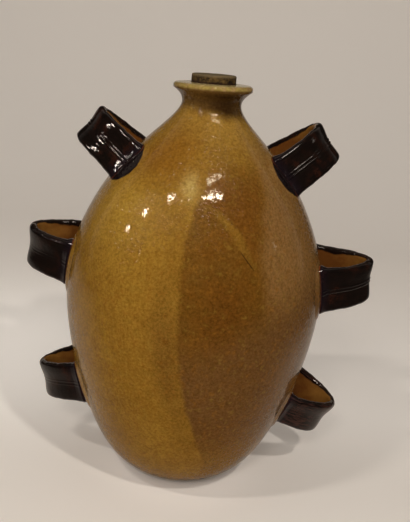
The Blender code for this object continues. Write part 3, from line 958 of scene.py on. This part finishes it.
pittedCork = makeCork(oldCork)
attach(pittedCork, "stopper")
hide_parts("stopper")
print("cork in")

for place in handles:
    band = makeStrap(place, handleGlaze)
    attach(band, "vessel")
    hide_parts("handle_" + place)
    nearSide = -1 if place.endswith("right") else 1
    for end, side in (("front", nearSide), ("back", -nearSide)):
        roll = makeCoil(place, end, side, clayGlaze)
        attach(roll, "vessel")
        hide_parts("joining_coil_" + place + "_" + end)
print("handles joined on")

# The paper that the vase stands on, its wall, and the light. The glows are what only the camera
# sees. A lamp is its kind, how far round and up it stands, its size and power, and its roll. A
# fill lamp lights the vase and leaves no glint, and a glint lamp is seen in the glaze alone.
studio = {
    "paper": (0.90, 0.825, 0.745),
    "unlit": (0.07, 0.06, 0.05),
    "wallY": 1.55, "bendRadius": 0.75, "bendSteps": 40, "front": -2.2, "halfWidth": 3.0,
    "wallTop": 2.4, "below": 0.0002, "roughness": 0.9,
    "litBack": (-0.15, 0.06), "litSide": (0.55, 0.22), "litUp": (1.0, 0.5),
    "farSide": (0.35, 1.1), "farFront": (-0.4, -1.2), "farUp": (0.9, 0.0),
    "floorGlow": (0.145, 0.137, 0.128),
    "wallGlow": (0.142, 0.130, 0.117),
    "frontGlow": (0.024, 0.023, 0.022),
    "leftGlow": (0.310, 0.292, 0.270),
    "nearGlow": (0.100, 0.094, 0.088),
    "farGlow": (0.430, 0.392, 0.350),
    "glows": (
        ("wallGlow", 1.0, ("y", "fade", 0.25, 0.7)),
        ("frontGlow", 1.0, ("y", "fade", 0.14, -0.04)),
        ("leftGlow", 0.9, ("x", "fade", 0.05, -0.2), ("slanted", "bell", 0.30, 0.19)),
        ("nearGlow", 1.0, ("away", "fade", 0.040, 0.052), ("away", "fade", 0.10, 0.05),
         ("y", "fade", 0.03, -0.03)),
        ("farGlow", 1.0, ("far",)),
    ),
    "aim": (0.0, 0.0, 0.20),
    "away": 1.3,
    "lampTint": (1.0, 0.97, 0.93),
    "roomDark": (0.030, 0.028, 0.026),
    "roomPale": (0.56, 0.51, 0.46),
    "fillFront": (0.190, 0.177, 0.162),
    "fillBack": (0.120, 0.113, 0.105),
    "paleBack": (0.15, 0.70), "fillAhead": (0.30, -0.40), "fillUp": (0.75, 0.05),
    "lamps": {
        "front": ("fill", 2.0, 16.0, (0.50, 0.24), 3.0, 0.0),
        "key": ("fill", -8.0, 31.0, (0.30, 0.16), 3.8, 0.0),
        "beam": ("fill", 26.8, 46.0, (0.06, 0.05), 4.8, 0.0),
        "main": ("glint", 16.0, 57.5, (0.40, 0.03), 6.0, 0.0),
        "over": ("glint", 28.0, 68.0, (0.40, 0.03), 1.4, 0.0),
        "left": ("both", -44.0, 50.0, (0.17, 0.03), 3.1, 40.0),
        "leftLow": ("glint", -67.0, 34.0, (0.05, 0.04), 2.0, 0.0),
        "farLeft": ("glint", -76.0, 24.0, (0.04, 0.04), 1.2, 0.0),
        "right": ("both", 80.0, 21.0, (0.05, 0.04), 0.05, 0.0),
    },
}


# One sheet: the floor, a quarter bend and the wall, as a line carried from side to side. Glossy
# rays see it dark beyond the lit strip behind the vase, as its far parts get little light.
def makePaper():
    wallY, bend = studio["wallY"], studio["bendRadius"]
    turn = np.linspace(-math.pi / 2, 0, studio["bendSteps"])
    curve = np.stack((wallY - bend + bend * np.cos(turn), bend + bend * np.sin(turn)), axis=1)
    line = np.concatenate((((studio["front"], 0.0),), curve, ((wallY, studio["wallTop"]),)))
    line[:, 1] -= studio["below"]
    sides = np.array((-1, 1)) * studio["halfWidth"]
    level = 0 * line[:, :1]
    points = np.stack((sides + level, line[:, :1] + 0 * sides, line[:, 1:] + 0 * sides), axis=-1)
    row = np.arange(len(line) - 1) * 2
    faces = np.stack((row, row + 1, row + 3, row + 2), axis=1)
    mesh = bpy.data.meshes.new("paper")
    mesh.from_pydata(points.reshape(-1, 3).tolist(), [], faces.tolist())
    mesh.shade_smooth()

    paint, _, x, y, z = newPaint("plain_paper", {})
    rays = paint.node("ShaderNodeLightPath")
    aside = x.math("MAXIMUM", x * -0.5) - y * 0.3
    lit = y.fade(*studio["litBack"]) * aside.fade(*studio["litSide"]) * z.fade(*studio["litUp"])
    colour = paint.mix((1.0 - lit) * rays["Is Glossy Ray"], studio["paper"], studio["unlit"])
    far = (x.size() - y * 0.3).fade(*studio["farSide"])
    far = far.math("MAXIMUM", y.fade(*studio["farFront"])) * z.fade(*studio["farUp"])
    away = (x * x + y * y).math("SQRT")
    fields = {"x": x, "y": y, "slanted": y - x * 0.3, "away": away, "far": far}
    glow = paint.layers(studio["floorGlow"], studio["glows"], studio, fields)
    glow = paint.mix(rays["Is Camera Ray"], (0.0, 0.0, 0.0), glow)
    mesh.materials.append(paint.finish(Base_Color=colour, Roughness=studio["roughness"],
                                       Emission_Color=glow, Emission_Strength=1.0))
    sheet = addObject("paper", mesh)


def makeLamps():
    for name, (kind, around, up, size, power, roll) in studio["lamps"].items():
        data = bpy.data.lights.new(name, "AREA")
        data.shape = "RECTANGLE"
        data.size, data.size_y = size
        data.energy = power
        data.color = studio["lampTint"]
        made = addObject(name, data)
        back = bearing(around, up)
        made.location = Vector(studio["aim"]) + back * studio["away"]
        rolled = Matrix.Rotation(math.radians(roll), 3, "Z")
        made.rotation_euler = (back.to_track_quat("Z", "Y").to_matrix() @ rolled).to_euler()
        made.visible_glossy = kind != "fill"
        made.visible_diffuse = kind != "glint"


# The room. Reflections see it dim in front of the vase and pale behind it, the camera sees it
# pale, and it gives a soft fill that is strongest from the front and low down.
def makeRoom():
    world = bpy.data.worlds.new("room")
    bpy.context.scene.world = world
    paint = Paint(world)
    x, y, z = paint.split(paint.node("ShaderNodeTexCoord")["Generated"])
    rays = paint.node("ShaderNodeLightPath")
    pale = (y + z * 0.10).fade(*studio["paleBack"])
    seen = paint.mix(pale, studio["roomDark"], studio["roomPale"])
    ahead = y.fade(*studio["fillAhead"]) * (0.3 + 1.5 * z.fade(*studio["fillUp"]))
    fill = paint.mix(ahead, studio["fillBack"], studio["fillFront"])
    shade = paint.mix(rays["Is Glossy Ray"], fill, seen)
    shade = paint.mix(rays["Is Camera Ray"], shade, studio["roomPale"])
    paint.plug(paint.tree.nodes["Background"].inputs["Color"], shade)


makePaper()
makeLamps()
makeRoom()
bpy.context.scene.view_settings.view_transform = "Standard"
print("studio lit")
